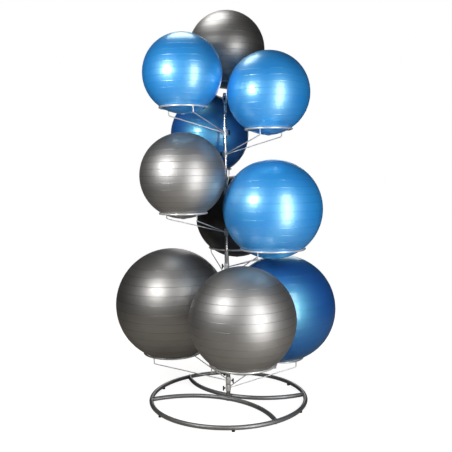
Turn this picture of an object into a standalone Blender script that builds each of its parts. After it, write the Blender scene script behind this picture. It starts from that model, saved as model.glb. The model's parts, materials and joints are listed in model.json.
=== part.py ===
"""Exercise ball rack: ten balls in swivelling hoop holders around one pole.

Units are metres and Z is up. The pole stands on the Z axis, the floor is Z = 0 and the
front of the rack faces -Y. Bearings are degrees from +X, anticlockwise from above.
"""
import math
from collections import namedtuple

import bmesh
import bpy
from mathutils import Vector

# Clearance between pieces that seat on or in each other
GAP = 0.0003

# Feet
FOOT_HEIGHT = 0.008
FOOT_RADIUS = 0.009
FOOT_SADDLE = 0.004
FOOT_COUNT = 6
FOOT_BEARING = 33.0
CENTRE_FOOT_RADIUS = 0.0150

# Base of bent round tube
TUBE_RADIUS = 0.0125
RING_RADIUS = 0.460
ARC_BEARING = 63.7
ARC_SPREAD = 120.0
ARC_BITE = 0.0015
ARC_SETBACK = 0.004

# Hub socket and its bolt
HUB_RADIUS = 0.0155
HUB_FLOOR = 0.004
HUB_RISE = 0.003
BOLT_RADIUS = 0.004
BOLT_LENGTH = 0.028
BOLT_HEAD_RADIUS = 0.0065
BOLT_POCKET_RADIUS = 0.0075
BOLT_HEAD_HEIGHT = 0.005
PLUG_LENGTH = 0.028

# Pole in two tubes, the upper one standing on a ledge inside the lower one
LOWER_POLE_RADIUS = 0.0125
LOWER_POLE_BORE = 0.0085
LOWER_POLE_TOP = 0.908
UPPER_POLE_RADIUS = 0.0095
UPPER_POLE_BORE = 0.0080
UPPER_POLE_TOP = 1.818
POLE_OVERLAP = 0.100
CAP_DOME = 0.004
CAP_RIM = 0.0012
CAP_STEM = 0.014

# Holders
COLLAR_HEIGHT = 0.040
COLLAR_WALL = 0.0022
HOOP_RISE = 0.129
HOOP_ROD_RADIUS = 0.0055
SMALL_HOOP_RADIUS = 0.129
LARGE_HOOP_RADIUS = 0.178
WIRE_RADIUS = 0.003
WIRE_SPREAD = 34.0
LEG_BEARING = 83.0
LEG_LENGTH = 0.036
LEG_BEND_RADIUS = 0.010

# Thumb screws
BOSS_RADIUS = 0.0055
BOSS_LENGTH = 0.006
SCREW_RADIUS = 0.003
KNOB_STANDOFF = 0.003
KNOB_HUB_RADIUS = 0.0055
KNOB_HUB_LENGTH = 0.009
KNOB_WING_SPAN = 0.030
KNOB_LOBE_RADIUS = 0.0060
KNOB_WING_THICKNESS = 0.005

# Balls and their valve plugs
BALL_WALL = 0.0012
VALVE_RADIUS = 0.0072
PLUG_FLANGE_RADIUS = 0.011
PLUG_FLANGE_HEIGHT = 0.002
PLUG_BARB_RADIUS = 0.0085
PLUG_TIP_RADIUS = 0.004
PLUG_TIP_HEIGHT = 0.008
PLUG_NECK_SLACK = 0.0010

# Facet counts; ball and hoop share one count so that their facets seat face to face
BALL_STEPS = 20
RING_STEPS = 40
ARC_STEPS = 14
TUBE_SIDES = 8
ROD_SIDES = 6
BEND_STEPS = 2
TURNED_STEPS = 12
SMALL_STEPS = 6
LOBE_STEPS = 3

# Reach of the arms: from the pole's axis to the middle of the hoop
SHORT_REACH = 0.286
MIDDLE_REACH = 0.327
LONG_REACH = 0.390

# place on the rack, bearing of its arm, height of its collar, reach, hoop, ball diameter, ball colour
Station = namedtuple("Station", "place bearing collar reach hoop diameter colour")
STATIONS = (
    Station("top_back", 87, 1.787, SHORT_REACH, SMALL_HOOP_RADIUS, 0.472, "charcoal"),
    Station("upper_left", 216, 1.597, SHORT_REACH, SMALL_HOOP_RADIUS, 0.440, "blue"),
    Station("upper_right", 328, 1.473, SHORT_REACH, SMALL_HOOP_RADIUS, 0.462, "blue"),
    Station("upper_back", 107, 1.259, MIDDLE_REACH, SMALL_HOOP_RADIUS, 0.492, "blue"),
    Station("middle_left", 224, 1.017, MIDDLE_REACH, SMALL_HOOP_RADIUS, 0.472, "grey"),
    Station("middle_right", 322, 0.811, MIDDLE_REACH, LARGE_HOOP_RADIUS, 0.554, "blue"),
    Station("middle_back", 80, 0.752, LONG_REACH, LARGE_HOOP_RADIUS, 0.526, "black"),
    Station("lower_front", 282, 0.217, LONG_REACH, LARGE_HOOP_RADIUS, 0.576, "grey"),
    Station("lower_left", 152, 0.125, LONG_REACH, LARGE_HOOP_RADIUS, 0.690, "charcoal"),
    Station("lower_right", 29, 0.079, LONG_REACH, SMALL_HOOP_RADIUS, 0.662, "blue"),
)

# Linear base colour, metallic value and roughness
FINISHES = {
    "powder_coat": ((0.10, 0.10, 0.11), 0.6, 0.45),
    "foot_rubber": ((0.02, 0.02, 0.02), 0.0, 0.7),
    "steel": ((0.62, 0.62, 0.63), 1.0, 0.3),
    "chrome": ((0.80, 0.80, 0.82), 1.0, 0.15),
    "knob_plastic": ((0.015, 0.015, 0.015), 0.0, 0.4),
    "cap_plastic": ((0.02, 0.02, 0.02), 0.0, 0.5),
    "valve_plastic": ((0.75, 0.75, 0.72), 0.0, 0.5),
    "blue": ((0.03, 0.20, 0.62), 0.0, 0.3),
    "grey": ((0.16, 0.155, 0.14), 0.0, 0.35),
    "charcoal": ((0.06, 0.06, 0.065), 0.0, 0.35),
    "black": ((0.012, 0.012, 0.012), 0.0, 0.35),
}

# Sizes that follow from the ones above
TUBE_HEIGHT = FOOT_HEIGHT + TUBE_RADIUS
HUB_TOP = TUBE_HEIGHT + TUBE_RADIUS + HUB_RISE
POLE_BOTTOM = FOOT_HEIGHT + HUB_FLOOR + GAP
POLE_SOCKET_BORE = UPPER_POLE_RADIUS + GAP
LEDGE_HEIGHT = LOWER_POLE_TOP - POLE_OVERLAP


def polar(radius, bearing, height=0.0):
    """Point at a radius and a bearing in degrees around the Z axis."""
    angle = math.radians(bearing)
    return (radius * math.cos(angle), radius * math.sin(angle), height)


def clear_scene():
    for obj in list(bpy.data.objects):
        bpy.data.objects.remove(obj, do_unlink=True)


def new_collection(name):
    collection = bpy.data.collections.new(name)
    bpy.context.scene.collection.children.link(collection)
    return collection


def finish_material(finish):
    """Material of one finish, made the first time it is asked for."""
    if finish in bpy.data.materials:
        return bpy.data.materials[finish]
    colour, metallic, roughness = FINISHES[finish]
    material = bpy.data.materials.new(finish)
    material.use_nodes = True
    shader = material.node_tree.nodes["Principled BSDF"]
    shader.inputs["Base Color"].default_value = (*colour, 1.0)
    shader.inputs["Metallic"].default_value = metallic
    shader.inputs["Roughness"].default_value = roughness
    material.diffuse_color = (*colour, 1.0)
    return material


def add_object(name, data):
    obj = bpy.data.objects.new(name, data)
    bpy.context.scene.collection.objects.link(obj)
    return obj


def settle(obj):
    """Turn a curve or a mesh with modifiers into one plain welded mesh in world space."""
    depsgraph = bpy.context.evaluated_depsgraph_get()
    mesh = bpy.data.meshes.new_from_object(obj.evaluated_get(depsgraph))
    mesh.transform(obj.matrix_world)
    shape = bmesh.new()
    shape.from_mesh(mesh)
    bmesh.ops.remove_doubles(shape, verts=shape.verts, dist=1e-6)
    bmesh.ops.recalc_face_normals(shape, faces=shape.faces)
    shape.to_mesh(mesh)
    shape.free()
    name = obj.name
    bpy.data.objects.remove(obj, do_unlink=True)
    settled = add_object(name, mesh)
    settled.name = name
    return settled


def turned(name, outline, steps=TURNED_STEPS, closed=True):
    """Turn a (radius, height) outline, listed down its outer side, about the Z axis."""
    mesh = bpy.data.meshes.new(name)
    points = [(radius, 0.0, height) for radius, height in outline]
    edges = [(i, i + 1) for i in range(len(points) - 1)]
    if closed:
        edges.append((len(points) - 1, 0))
    mesh.from_pydata(points, edges, [])
    obj = add_object(name, mesh)
    screw = obj.modifiers.new("turn", "SCREW")
    screw.steps = steps
    screw.render_steps = steps
    screw.use_merge_vertices = True
    screw.merge_threshold = 1e-6
    return settle(obj)


def poly_spline(curve, points, closed):
    spline = curve.splines.new("POLY")
    spline.points.add(len(points) - 1)
    for point, place in zip(spline.points, points):
        point.co = (*place, 1.0)
    spline.use_cyclic_u = closed


def rod(name, points, radius, sides):
    """Round rod with closed ends along a list of points."""
    curve = bpy.data.curves.new(name, "CURVE")
    curve.dimensions = "3D"
    curve.bevel_depth = radius
    curve.bevel_resolution = (sides - 4) // 2
    curve.use_fill_caps = True
    poly_spline(curve, points, closed=False)
    return settle(add_object(name, curve))


def plate(name, outline, thickness):
    """Flat plate of a closed (x, y) outline, half its thickness to each side of Z = 0."""
    curve = bpy.data.curves.new(name, "CURVE")
    curve.dimensions = "2D"
    curve.fill_mode = "BOTH"
    curve.extrude = thickness / 2
    poly_spline(curve, [(x, y, 0.0) for x, y in outline], closed=True)
    return add_object(name, curve)


def torus(name, radius, tube_radius, steps, sides, place=(0.0, 0.0, 0.0)):
    bpy.ops.mesh.primitive_torus_add(
        major_radius=radius, minor_radius=tube_radius,
        major_segments=steps, minor_segments=sides, location=place,
    )
    obj = bpy.context.active_object
    obj.name = name
    return settle(obj)


def cylinder(name, radius, start, end, sides=SMALL_STEPS):
    """Cylinder between two points."""
    run = [b - a for a, b in zip(start, end)]
    length = math.dist(start, end)
    middle = [(a + b) / 2 for a, b in zip(start, end)]
    tilt = math.acos(run[2] / length)
    turn = math.atan2(run[1], run[0])
    bpy.ops.mesh.primitive_cylinder_add(
        vertices=sides, radius=radius, depth=length, location=middle, rotation=(0.0, tilt, turn),
    )
    obj = bpy.context.active_object
    obj.name = name
    return settle(obj)


def combine(obj, tools, operation):
    """Join tools to an object or cut them from it, and remove the tools."""
    for tool in tools:
        boolean = obj.modifiers.new(tool.name, "BOOLEAN")
        boolean.operation = operation
        boolean.solver = "EXACT"
        boolean.object = tool
    result = settle(obj)
    for tool in tools:
        bpy.data.objects.remove(tool, do_unlink=True)
    return result


def pierced_radius(radius, sides):
    """Radius of a faceted bore whose flats clear a round of this radius that turns in it."""
    return (radius + GAP) / math.cos(math.pi / sides)


def filleted(start, corner, end, radius):
    """Path from start to end by way of a corner that is bent to a radius."""
    start, corner, end = Vector(start), Vector(corner), Vector(end)
    back = (start - corner).normalized()
    onward = (end - corner).normalized()
    half_angle = back.angle(onward) / 2
    setback = radius / math.tan(half_angle)
    centre = corner + (back + onward).normalized() * radius / math.sin(half_angle)
    first = (corner + back * setback - centre).normalized()
    last = (corner + onward * setback - centre).normalized()
    bend = [centre + first.slerp(last, i / BEND_STEPS) * radius for i in range(BEND_STEPS + 1)]
    return [start, *bend, end]


def finish_piece(obj, collection, finish, location=(0.0, 0.0, 0.0), rotation=(0.0, 0.0, 0.0), parent=None):
    """File a piece, give it its finish and put it in its place on its parent."""
    obj.data.materials.clear()
    obj.data.materials.append(finish_material(finish))
    obj.data.shade_smooth()
    obj.data.set_sharp_from_angle(angle=math.radians(35.0))
    bpy.context.scene.collection.objects.unlink(obj)
    collection.objects.link(obj)
    obj.parent = parent
    obj.location = location
    obj.rotation_euler = rotation
    return obj


def ring_cutter():
    place = (0.0, 0.0, TUBE_HEIGHT)
    return torus("ring_cutter", RING_RADIUS, TUBE_RADIUS + GAP, RING_STEPS, TUBE_SIDES, place)


def base_ring(collection):
    place = (0.0, 0.0, TUBE_HEIGHT)
    ring = torus("base_ring", RING_RADIUS, TUBE_RADIUS, RING_STEPS, TUBE_SIDES, place)
    finish_piece(ring, collection, "powder_coat")


def base_arc(collection, name, bearing):
    """Bent tube from ring to ring that passes beside the hub, coped to fit both."""
    apex = HUB_RADIUS + TUBE_RADIUS - ARC_BITE
    end_x = RING_RADIUS * math.cos(math.radians(ARC_SPREAD / 2))
    end_y = RING_RADIUS * math.sin(math.radians(ARC_SPREAD / 2))
    centre = (RING_RADIUS ** 2 - apex ** 2) / (2 * (end_x - apex))
    radius = centre - apex
    sweep = math.atan2(end_y, centre - end_x) - ARC_SETBACK / radius
    points = []
    for i in range(ARC_STEPS + 1):
        angle = sweep * (2 * i / ARC_STEPS - 1)
        points.append((centre - radius * math.cos(angle), radius * math.sin(angle), 0.0))
    arc = rod(name, points, TUBE_RADIUS, TUBE_SIDES)
    arc.location = (0.0, 0.0, TUBE_HEIGHT)
    arc.rotation_euler = (0.0, 0.0, math.radians(bearing))
    bpy.context.view_layer.update()
    hub_cutter = cylinder(
        "hub_cutter", pierced_radius(HUB_RADIUS, TURNED_STEPS),
        (0.0, 0.0, 0.0), (0.0, 0.0, 2 * HUB_TOP), TURNED_STEPS,
    )
    arc = combine(settle(arc), [ring_cutter(), hub_cutter], "DIFFERENCE")
    finish_piece(arc, collection, "powder_coat")


def ring_foot(collection, number):
    """Pad with a saddle on top that the ring lies in."""
    place = polar(RING_RADIUS, FOOT_BEARING + (number - 1) * 360.0 / FOOT_COUNT)
    top = (place[0], place[1], FOOT_HEIGHT + FOOT_SADDLE)
    foot = cylinder(f"foot_{number}", FOOT_RADIUS, place, top, TURNED_STEPS)
    finish_piece(combine(foot, [ring_cutter()], "DIFFERENCE"), collection, "foot_rubber")


def centre_foot(collection):
    """Pad under the hub with a pocket for the head of the bolt."""
    top = FOOT_HEIGHT - GAP
    pocket_floor = top - BOLT_HEAD_HEIGHT - GAP
    outline = [
        (0.0, pocket_floor),
        (BOLT_POCKET_RADIUS, pocket_floor),
        (BOLT_POCKET_RADIUS, top),
        (CENTRE_FOOT_RADIUS, top),
        (CENTRE_FOOT_RADIUS, 0.0),
        (0.0, 0.0),
    ]
    finish_piece(turned("centre_foot", outline, closed=False), collection, "foot_rubber")


def hub_socket(collection):
    """Cup that the pole stands in, with a bolt hole in its floor."""
    floor_top = FOOT_HEIGHT + HUB_FLOOR
    outline = [
        (HUB_RADIUS, HUB_TOP),
        (HUB_RADIUS, FOOT_HEIGHT),
        (BOLT_RADIUS + GAP, FOOT_HEIGHT),
        (BOLT_RADIUS + GAP, floor_top),
        (LOWER_POLE_RADIUS + GAP, floor_top),
        (LOWER_POLE_RADIUS + GAP, HUB_TOP),
    ]
    finish_piece(turned("hub_socket", outline), collection, "powder_coat")


def hub_bolt(collection):
    head_top = FOOT_HEIGHT - GAP
    head_bottom = head_top - BOLT_HEAD_HEIGHT
    head = cylinder("hub_bolt", BOLT_HEAD_RADIUS, (0.0, 0.0, head_bottom), (0.0, 0.0, head_top), 6)
    middle = (0.0, 0.0, (head_bottom + head_top) / 2)
    shank = cylinder("shank", BOLT_RADIUS, middle, (0.0, 0.0, head_top + BOLT_LENGTH), TURNED_STEPS)
    finish_piece(combine(head, [shank], "UNION"), collection, "steel")


def pole_foot_plug(collection):
    """Threaded plug pressed into the foot of the pole."""
    top = POLE_BOTTOM + PLUG_LENGTH
    outline = [
        (LOWER_POLE_BORE - GAP, top),
        (LOWER_POLE_BORE - GAP, POLE_BOTTOM),
        (BOLT_RADIUS + GAP, POLE_BOTTOM),
        (BOLT_RADIUS + GAP, top),
    ]
    finish_piece(turned("pole_foot_plug", outline), collection, "steel")


def lower_pole(collection):
    """Tube whose bore widens above a ledge that the upper pole stands on."""
    outline = [
        (LOWER_POLE_RADIUS, LOWER_POLE_TOP),
        (LOWER_POLE_RADIUS, POLE_BOTTOM),
        (LOWER_POLE_BORE, POLE_BOTTOM),
        (LOWER_POLE_BORE, LEDGE_HEIGHT),
        (POLE_SOCKET_BORE, LEDGE_HEIGHT),
        (POLE_SOCKET_BORE, LOWER_POLE_TOP),
    ]
    finish_piece(turned("lower_pole", outline), collection, "steel")


def upper_pole(collection):
    bottom = LEDGE_HEIGHT + GAP
    outline = [
        (UPPER_POLE_RADIUS, UPPER_POLE_TOP),
        (UPPER_POLE_RADIUS, bottom),
        (UPPER_POLE_BORE, bottom),
        (UPPER_POLE_BORE, UPPER_POLE_TOP),
    ]
    finish_piece(turned("upper_pole", outline), collection, "chrome")


def pole_cap(collection):
    """Domed plug in the open top of the pole."""
    rim_bottom = UPPER_POLE_TOP + GAP
    rim_top = rim_bottom + CAP_RIM
    dome = []
    for i in range(4):
        angle = math.radians(90.0 - 30.0 * i)
        dome.append((UPPER_POLE_RADIUS * math.cos(angle), rim_top + CAP_DOME * math.sin(angle)))
    dome[0] = (0.0, rim_top + CAP_DOME)
    outline = dome + [
        (UPPER_POLE_RADIUS, rim_bottom),
        (UPPER_POLE_BORE - GAP, rim_bottom),
        (UPPER_POLE_BORE - GAP, rim_bottom - CAP_STEM),
        (0.0, rim_bottom - CAP_STEM),
    ]
    finish_piece(turned("pole_cap", outline, closed=False), collection, "cap_plastic")


def pole_radius(station):
    """Radius of the tube that a station's collar turns on."""
    if station.collar > LOWER_POLE_TOP:
        return UPPER_POLE_RADIUS
    return LOWER_POLE_RADIUS


def collar_radius(station):
    return pole_radius(station) + GAP + COLLAR_WALL


def arm_wire(station, side):
    """Wire from the collar out to a bend, then up to the underside of the hoop."""
    bearing = side * math.radians(LEG_BEARING)
    leg_x = station.reach + station.hoop * math.cos(bearing)
    leg_y = station.hoop * math.sin(bearing)
    spread = side * math.radians(WIRE_SPREAD)
    root = pole_radius(station) + COLLAR_WALL / 2
    top = (leg_x, leg_y, HOOP_RISE)
    corner = (leg_x, leg_y, HOOP_RISE - LEG_LENGTH)
    start = (root * math.cos(spread), root * math.sin(spread), 0.0)
    return rod("arm_wire", filleted(top, corner, start, LEG_BEND_RADIUS), WIRE_RADIUS, ROD_SIDES)


def holder(collection, station):
    """Collar, two wires and a hoop in one piece, with a bore for the pole and one for the screw."""
    outer = collar_radius(station)
    half = COLLAR_HEIGHT / 2
    collar = cylinder("collar", outer, (0.0, 0.0, -half), (0.0, 0.0, half), TURNED_STEPS)
    boss = cylinder("boss", BOSS_RADIUS, (0.0, 0.0, 0.0), (-outer - BOSS_LENGTH, 0.0, 0.0))
    hoop = torus("hoop", station.hoop, HOOP_ROD_RADIUS, BALL_STEPS, ROD_SIDES)
    hoop.location = (station.reach, 0.0, HOOP_RISE)
    hoop.rotation_euler = (0.0, 0.0, -math.radians(station.bearing))
    bpy.context.view_layer.update()
    wires = [arm_wire(station, side) for side in (1, -1)]
    body = combine(collar, [boss, *wires, hoop], "UNION")
    bore_radius = pierced_radius(pole_radius(station), TURNED_STEPS)
    bore = cylinder("bore", bore_radius, (0.0, 0.0, -COLLAR_HEIGHT), (0.0, 0.0, COLLAR_HEIGHT), TURNED_STEPS)
    screw_hole = cylinder(
        "screw_hole", pierced_radius(SCREW_RADIUS, SMALL_STEPS),
        (0.0, 0.0, 0.0), (-outer - 2 * BOSS_LENGTH, 0.0, 0.0),
    )
    body = combine(body, [bore, screw_hole], "DIFFERENCE")
    body.name = f"holder_{station.place}"
    turn = (0.0, 0.0, math.radians(station.bearing))
    return finish_piece(body, collection, "chrome", (0.0, 0.0, station.collar), turn)


def wing_outline(middle):
    """Outline of a two-lobed wing along Y, as (x, y) points round its middle."""
    offset = KNOB_WING_SPAN / 2 - KNOB_LOBE_RADIUS
    points = []
    for side in (-1, 1):
        for i in range(LOBE_STEPS + 1):
            angle = math.radians(side * 90.0 + 120.0 * (2 * i / LOBE_STEPS - 1))
            x = middle + KNOB_LOBE_RADIUS * math.cos(angle)
            points.append((x, side * offset + KNOB_LOBE_RADIUS * math.sin(angle)))
    return points


def knob(collection, station, parent):
    """Thumb screw along +X, its tip on the pole and its wing upright."""
    tip = pole_radius(station) + GAP
    hub_start = collar_radius(station) + BOSS_LENGTH + KNOB_STANDOFF
    hub_end = hub_start + KNOB_HUB_LENGTH
    grip = cylinder("grip", KNOB_HUB_RADIUS, (hub_start, 0.0, 0.0), (hub_end, 0.0, 0.0))
    inside = (hub_start + KNOB_HUB_LENGTH / 2, 0.0, 0.0)
    screw = cylinder("screw", SCREW_RADIUS, (tip, 0.0, 0.0), inside)
    wing = plate("wing", wing_outline(hub_end), KNOB_WING_THICKNESS)
    wing.rotation_euler = (math.radians(90.0), 0.0, 0.0)
    bpy.context.view_layer.update()
    body = combine(grip, [screw, settle(wing)], "UNION")
    body.name = f"knob_{station.place}"
    turn = (0.0, 0.0, math.pi)
    return finish_piece(body, collection, "knob_plastic", (0.0, 0.0, 0.0), turn, parent)


def seat_angle(station):
    """Angle from a ball's lowest point to the circle on which it rests in its hoop."""
    return math.asin(station.hoop / (station.diameter / 2 + HOOP_ROD_RADIUS + GAP))


def spaced(start, end, count):
    """Angles from start to end in equal steps, without the first."""
    return [start + (end - start) * (i + 1) / count for i in range(count)]


def shell_outline(radius, seat):
    """Half of a sphere's outline from its valve hole up to its top, with a ring at the seat."""
    hole = math.asin(VALVE_RADIUS / radius)
    angles = [hole]
    angles += spaced(hole, seat, 1)
    angles += spaced(seat, math.pi / 2, 3)
    angles += spaced(math.pi / 2, math.pi, 4)
    outline = [(radius * math.sin(angle), -radius * math.cos(angle)) for angle in angles]
    outline[-1] = (0.0, radius)
    return outline


def ball(collection, station, parent):
    """Thin hollow ball with a valve hole at its lowest point, seated in its hoop."""
    radius = station.diameter / 2
    seat = seat_angle(station)
    outer = shell_outline(radius, seat)
    inner = shell_outline(radius - BALL_WALL, seat)
    shell = turned(f"ball_{station.place}", outer[::-1] + inner, BALL_STEPS, closed=False)
    height = (radius + HOOP_ROD_RADIUS + GAP) * math.cos(seat)
    turn = (0.0, 0.0, -math.radians(station.bearing))
    return finish_piece(
        shell, collection, station.colour, (station.reach, 0.0, HOOP_RISE + height), turn, parent
    )


def valve_plug(collection, station, parent):
    """Barbed plug that fills a ball's valve hole."""
    radius = station.diameter / 2
    flange_top = shell_outline(radius, seat_angle(station))[0][1] - GAP
    barb_bottom = shell_outline(radius - BALL_WALL, seat_angle(station))[0][1] + PLUG_NECK_SLACK
    neck_radius = VALVE_RADIUS - GAP
    outline = [
        (0.0, barb_bottom + PLUG_TIP_HEIGHT),
        (PLUG_TIP_RADIUS, barb_bottom + PLUG_TIP_HEIGHT),
        (PLUG_BARB_RADIUS, barb_bottom),
        (neck_radius, barb_bottom),
        (neck_radius, flange_top),
        (PLUG_FLANGE_RADIUS, flange_top),
        (PLUG_FLANGE_RADIUS, flange_top - PLUG_FLANGE_HEIGHT),
        (0.0, flange_top - PLUG_FLANGE_HEIGHT),
    ]
    plug = turned(f"valve_plug_{station.place}", outline, SMALL_STEPS, closed=False)
    return finish_piece(plug, collection, "valve_plastic", parent=parent)


def build():
    clear_scene()
    collection = new_collection("exercise_ball_rack")
    base_ring(collection)
    base_arc(collection, "base_arc_back", ARC_BEARING)
    base_arc(collection, "base_arc_front", ARC_BEARING + 180.0)
    for number in range(1, FOOT_COUNT + 1):
        ring_foot(collection, number)
    centre_foot(collection)
    hub_socket(collection)
    hub_bolt(collection)
    pole_foot_plug(collection)
    lower_pole(collection)
    upper_pole(collection)
    pole_cap(collection)
    for station in STATIONS:
        arm = holder(collection, station)
        knob(collection, station, arm)
        exercise_ball = ball(collection, station, arm)
        valve_plug(collection, station, exercise_ball)


build()
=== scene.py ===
"""Looks of the exercise ball rack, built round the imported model.

Units are metres and Z is up. The pole stands on the Z axis, the floor is Z = 0 and the
front of the rack faces -Y. Most sizes are read from the model's own solids.
"""
import json
import math
from collections import namedtuple

import bmesh
import bpy
from mathutils import Matrix, Vector

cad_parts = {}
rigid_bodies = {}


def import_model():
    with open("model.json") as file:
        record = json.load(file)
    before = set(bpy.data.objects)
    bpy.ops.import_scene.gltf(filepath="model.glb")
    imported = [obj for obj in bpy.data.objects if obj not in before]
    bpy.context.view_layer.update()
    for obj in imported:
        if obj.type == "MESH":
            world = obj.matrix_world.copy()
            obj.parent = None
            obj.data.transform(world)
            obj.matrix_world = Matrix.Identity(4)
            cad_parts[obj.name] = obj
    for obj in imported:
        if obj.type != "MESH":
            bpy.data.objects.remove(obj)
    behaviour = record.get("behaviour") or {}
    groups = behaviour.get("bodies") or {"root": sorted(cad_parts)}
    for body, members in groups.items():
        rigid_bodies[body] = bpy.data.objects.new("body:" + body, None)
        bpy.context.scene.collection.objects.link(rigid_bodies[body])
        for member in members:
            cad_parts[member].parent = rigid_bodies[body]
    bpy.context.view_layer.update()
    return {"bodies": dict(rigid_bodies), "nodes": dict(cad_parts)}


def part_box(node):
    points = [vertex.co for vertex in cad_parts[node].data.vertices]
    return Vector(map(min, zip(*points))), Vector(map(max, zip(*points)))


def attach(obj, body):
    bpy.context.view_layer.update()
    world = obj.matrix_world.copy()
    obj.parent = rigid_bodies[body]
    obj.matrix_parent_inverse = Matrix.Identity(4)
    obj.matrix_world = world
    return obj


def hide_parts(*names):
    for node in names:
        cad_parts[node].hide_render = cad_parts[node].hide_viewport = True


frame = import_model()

# Camera of the photograph: lens and sensor in millimetres, angles in degrees
CAMERA_PLACE = (0.0, -3.650, 1.363)
CAMERA_LENS = 49.63
CAMERA_SENSOR = 36.0
CAMERA_PITCH = 4.87
CAMERA_YAW = -0.024
CAMERA_ROLL = -0.73
CAMERA_NEAR = 0.05
CAMERA_FAR = 200.0

# Base, read from the ring and the hub
RING_LOW, RING_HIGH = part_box("base_ring")
TUBE_RADIUS = (RING_HIGH.z - RING_LOW.z) / 2
TUBE_HEIGHT = (RING_HIGH.z + RING_LOW.z) / 2
RING_RADIUS = RING_HIGH.x - TUBE_RADIUS
HUB_LOW, HUB_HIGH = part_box("hub_socket")
HUB_RADIUS = HUB_HIGH.x
ARC_BEARING = 63.7
ARC_SPREAD = 120.0
ARC_BITE = 0.0015
ARC_END_SHARE = 0.4
BOLT_HOLE_RADIUS = 0.0043
FOOT_POCKET_RADIUS = 0.0075
EDGE_RADIUS = 0.0008

# Weld beads of the base. The search and the height are in tube radii, the angle in radians
BEAD_RADIUS = 0.0020
BEAD_SEARCH = 3.0
HUB_BEAD_RADIUS = BEAD_RADIUS * 0.8
HUB_BEAD_LIFT = 0.0004
HUB_BEAD_HEIGHT = 0.72
HUB_BEAD_ANGLE = 0.42

# Foot pads: rings of the underside as (share of the radius, height), and of the top as shares
PAD_UNDERSIDE = ((0.55, 0.0), (0.92, 0.0), (1.0, EDGE_RADIUS))
PAD_TOP = (1.0, 0.94, 0.6, 0.25)

# Poles, read from their tubes
LOWER_POLE_LOW, LOWER_POLE_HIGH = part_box("lower_pole")
_, UPPER_POLE_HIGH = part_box("upper_pole")
LOWER_POLE_RADIUS = LOWER_POLE_HIGH.x
UPPER_POLE_RADIUS = UPPER_POLE_HIGH.x
UPPER_POLE_BORE = 0.0080
CAP_LOW, CAP_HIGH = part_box("pole_cap")
CAP_RIM_HEIGHT = 0.0012
CAP_STEM_BEVEL = 0.0008

# Holders
SEAT_GAP = 0.0003
COLLAR_HEIGHT = 0.040
COLLAR_WALL = 0.0022
HOOP_RISE = 0.129
HOOP_ROD_RADIUS = 0.0055
WIRE_RADIUS = 0.003
WIRE_SPREAD = 34.0
WELD_FLARE = 1.5
WELD_TIP = 0.6
WELD_LENGTH = 0.004
LEG_BEARING = 83.0
LEG_LENGTH = 0.036
LEG_BEND_RADIUS = 0.010

# Thumb screws
NUT_RADIUS = 0.0055
NUT_LENGTH = 0.006
NUT_BITE = 0.0012
NUT_CHAMFER_WIDTH = 0.0007
NUT_CHAMFER_DEPTH = 0.0006
NUT_COUNTERSINK = 0.0004
SCREW_RADIUS = 0.003
SCREW_TIP_SHARE = 0.7
THREAD_DEPTH = 0.0004
THREAD_PITCH = 0.0010
KNOB_STANDOFF = 0.003
KNOB_HUB_RADIUS = 0.0055
KNOB_HUB_LENGTH = 0.009
KNOB_FLUTE_DEPTH = 0.00035
KNOB_FLUTES = 8
WING_HALF_SPAN = 0.015
WING_HALF_WIDTH = 0.0060
WING_HALF_THICKNESS = 0.0025
WING_WAIST = 0.30
WING_WAIST_POWER = 4
WING_SQUARENESS = 0.7
WING_DISH = 0.86

# Ends of a knob's hub: (share of the radius, depth from the end)
GRIP_NEAR_END = ((0.0, 0.0), (0.78, 0.0), (0.95, 0.0004), (1.0, 0.0012))
GRIP_FAR_END = ((1.0, 0.0020), (0.93, 0.0008), (0.75, 0.0), (0.0, 0.0))

# Rounded edge of a wing: (share of the half thickness, share of the outline)
WING_EDGE = ((0.55, 1.0), (0.90, 0.89), (1.0, 0.72), (0.88, 0.45))

# Balls
RIB_HEIGHT = 0.00045
RIB_HALF_WIDTH = 0.0011
RIB_SHOULDER = 0.0010
RIB_ANGLE = 9.0
RIB_COUNT = 11
# The rib lines are painted shade: a darker line in the skin's colour along each rib
RIB_LINE_ANGLE = 0.45
RIB_LINE_SHARE = 0.45
RIB_LINE_SHADE = 0.25
RIB_LINE_FADE = 0.98
RIB_SIDE_HEIGHT = 0.8
SKIN_ANGLE = 3.0
SKIN_MARGIN = 1.3
BALL_WALL = 0.0012
VALVE_RADIUS = 0.0072
VALVE_RIM_RADIUS = 0.017
VALVE_RIM_HEIGHT = RIB_HEIGHT * 0.8
VALVE_RIM_INNER_EDGE = RIB_HEIGHT * 0.3
VALVE_RIM_OUTER_EDGE = RIB_HEIGHT * 0.2
PIP_RADIUS = 0.014
PIP_FLAT_SHARE = 0.3
PIP_HEIGHT = RIB_HEIGHT * 0.7
RIM_BEVEL = 0.15

# Valve plugs
PLUG_TIP_RADIUS = 0.0030
PLUG_BARB_RADIUS = 0.0080
PLUG_BARB_LENGTH = 0.0080
PLUG_FLANGE_HEIGHT = 0.0020
PLUG_LIP = 0.0005
PLUG_BEVEL = 0.0006
PLUG_SLANT = 0.0004
PLUG_GROOVE_INSIDE = 0.0030
PLUG_GROOVE_OUTSIDE = 0.0060

# Smoothness: steps round each form
BALL_STEPS = 80
INSIDE_STEPS = 23
RING_STEPS = 144
HOOP_STEPS = 96
ARC_STEPS = 64
TUBE_SIDES = 24
ROD_SIDES = 14
WIRE_SIDES = 12
BEND_STEPS = 8
POLE_SIDES = 40
SMALL_SIDES = 24
BEAD_SIDES = 8
BEAD_STEPS = 36
BEAD_HALVINGS = 24
HUB_BEAD_STEPS = 8
POLE_CUTS = 24
CAP_STEPS = 9
WIRE_CUTS = 10
FLOOR_SIDES = 64

# Limits: the share of a side that a rounded corner may take, and what counts as nought
CORNER_SHARE = 0.4
TIP_RADIUS = 1e-7
SAME_ANGLE = 1e-6

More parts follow.
